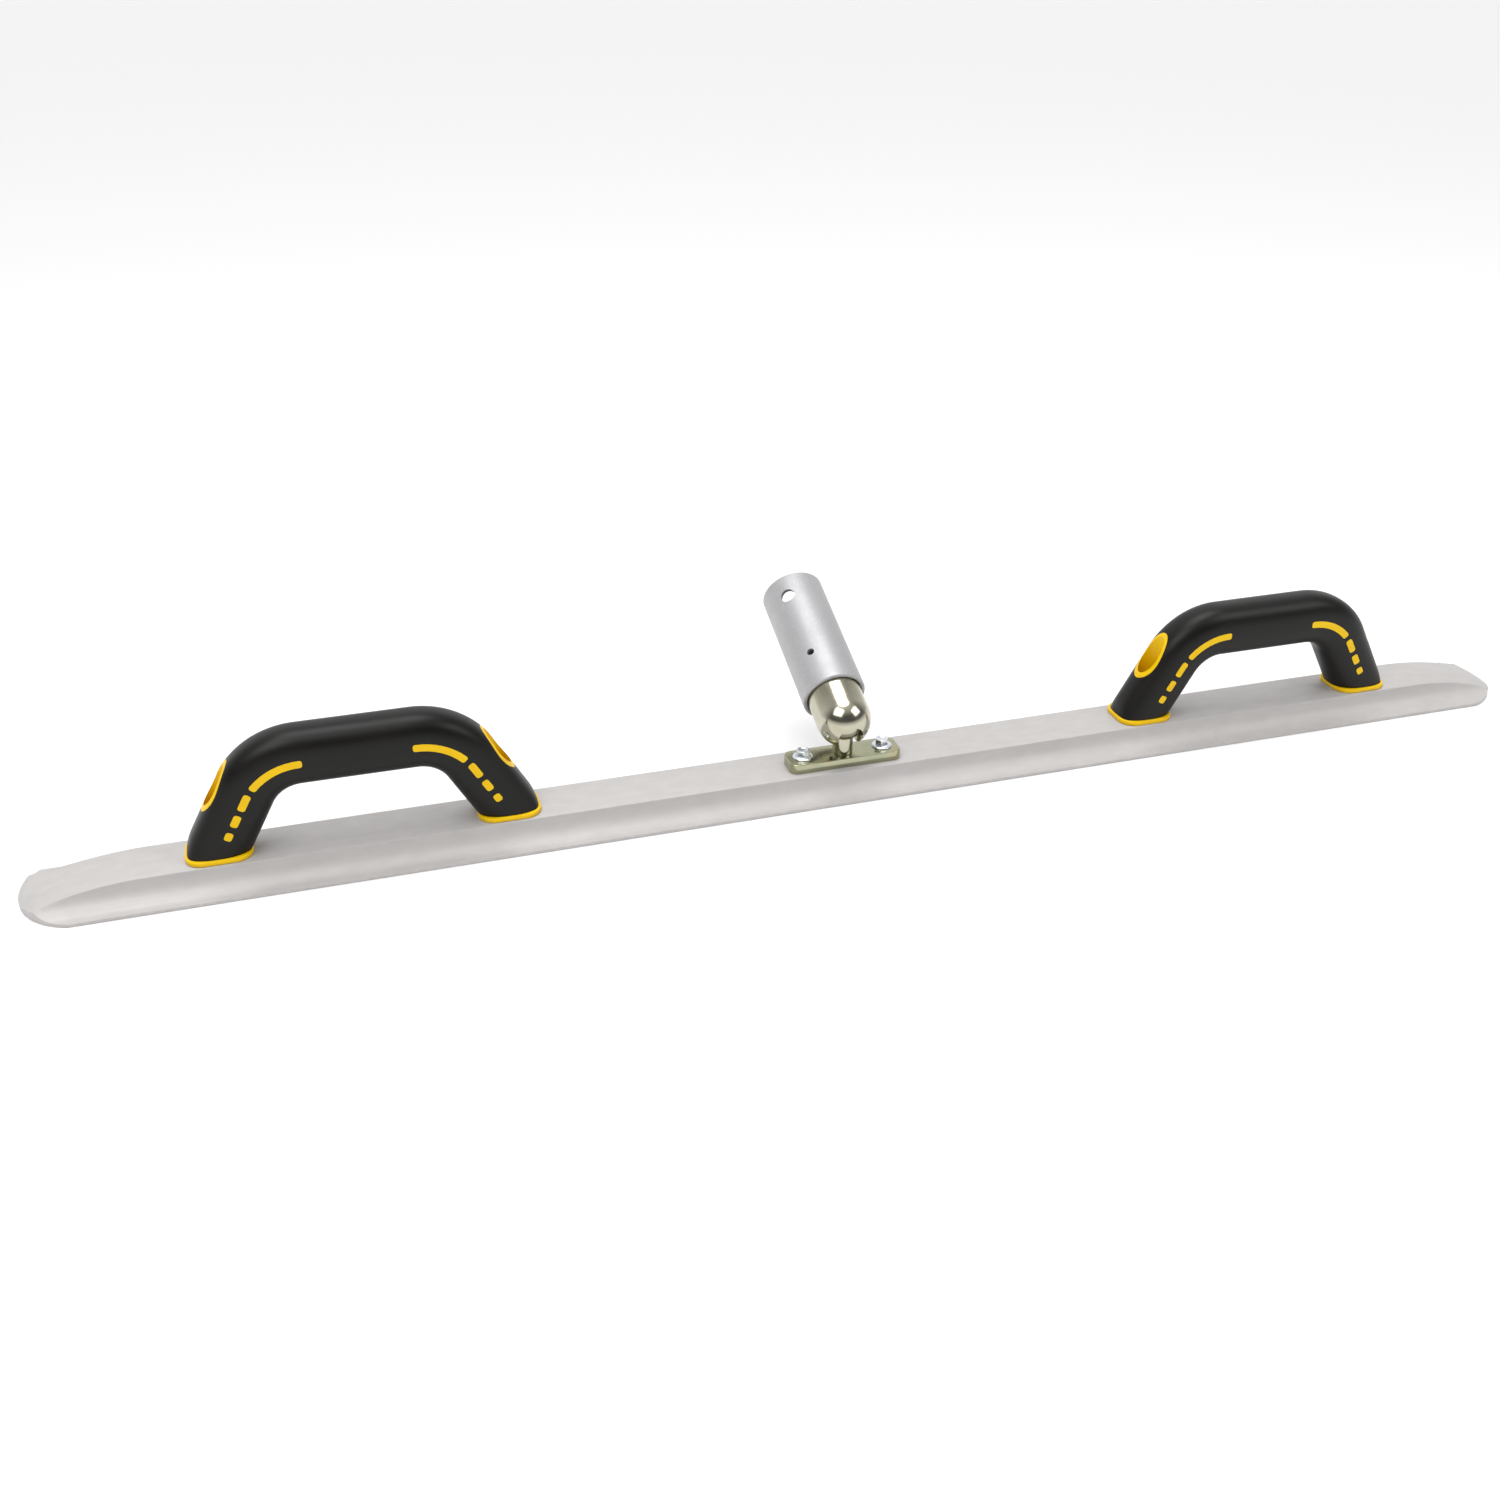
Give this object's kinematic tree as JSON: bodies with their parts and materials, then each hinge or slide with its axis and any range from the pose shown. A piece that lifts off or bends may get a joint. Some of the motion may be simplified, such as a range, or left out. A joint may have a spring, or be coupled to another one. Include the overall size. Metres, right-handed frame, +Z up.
{
  "type": "bull float",
  "caption": "Long straight concrete float blade with a flat-topped rib, moulded hand grips and a central ball-jointed socket for a push pole.",
  "frame": {"origin": "centre of the sole, under the middle of the blade", "axes": "+X along the blade to its right end, +Y to the back edge, the side the pole leaves from, +Z up from the sole"},
  "size_m": [1.2192, 0.1758, 0.1316],
  "materials": {
    "magnesium": "mill-finished extrusion, matt",
    "yellow_plastic": "moulded, satin",
    "black_rubber": "soft overmould, satin",
    "yellow_zinc": "yellow zinc plate",
    "plated_polish": "polished, lightly tinted zinc plate",
    "blue_zinc": "bright blue zinc plate",
    "plain_steel": "plain",
    "black_steel": "black oxide",
    "aluminium_tube": "tumbled, satin",
    "nylon": "moulded"
  },
  "bodies": {
    "float": {"blade": "magnesium", "left_handle_core": "yellow_plastic", "left_handle_grip": "black_rubber", "left_handle_outer_screw": "blue_zinc", "left_handle_inner_screw": "blue_zinc", "left_handle_outer_washer": "blue_zinc", "left_handle_inner_washer": "blue_zinc", "right_handle_core": "yellow_plastic", "right_handle_grip": "black_rubber", "right_handle_outer_screw": "blue_zinc", "right_handle_inner_screw": "blue_zinc", "right_handle_outer_washer": "blue_zinc", "right_handle_inner_washer": "blue_zinc", "bracket_plate": "yellow_zinc", "bracket_left_screw": "blue_zinc", "bracket_right_screw": "blue_zinc"},
    "stud": {"ball_stud": "plated_polish", "stud_rivet": "plain_steel"},
    "pole_head": {"socket_housing": "plated_polish", "ball_seat": "nylon", "seat_spring": "plain_steel", "socket_plug": "plain_steel", "pole_sleeve": "aluminium_tube", "sleeve_set_screw": "black_steel"}
  },
  "joints": [
    {"name": "pole_swivel", "type": "hinge", "parent": "float", "child": "stud", "pos_m": [0, -0.003, 0.0271], "axis": [0, 0, 1], "continuous": true},
    {"name": "pole_tilt", "type": "hinge", "parent": "stud", "child": "pole_head", "pos_m": [0, -0.003, 0.0558], "axis": [1, 0, 0], "range_deg": [-12, 68]}
  ]
}
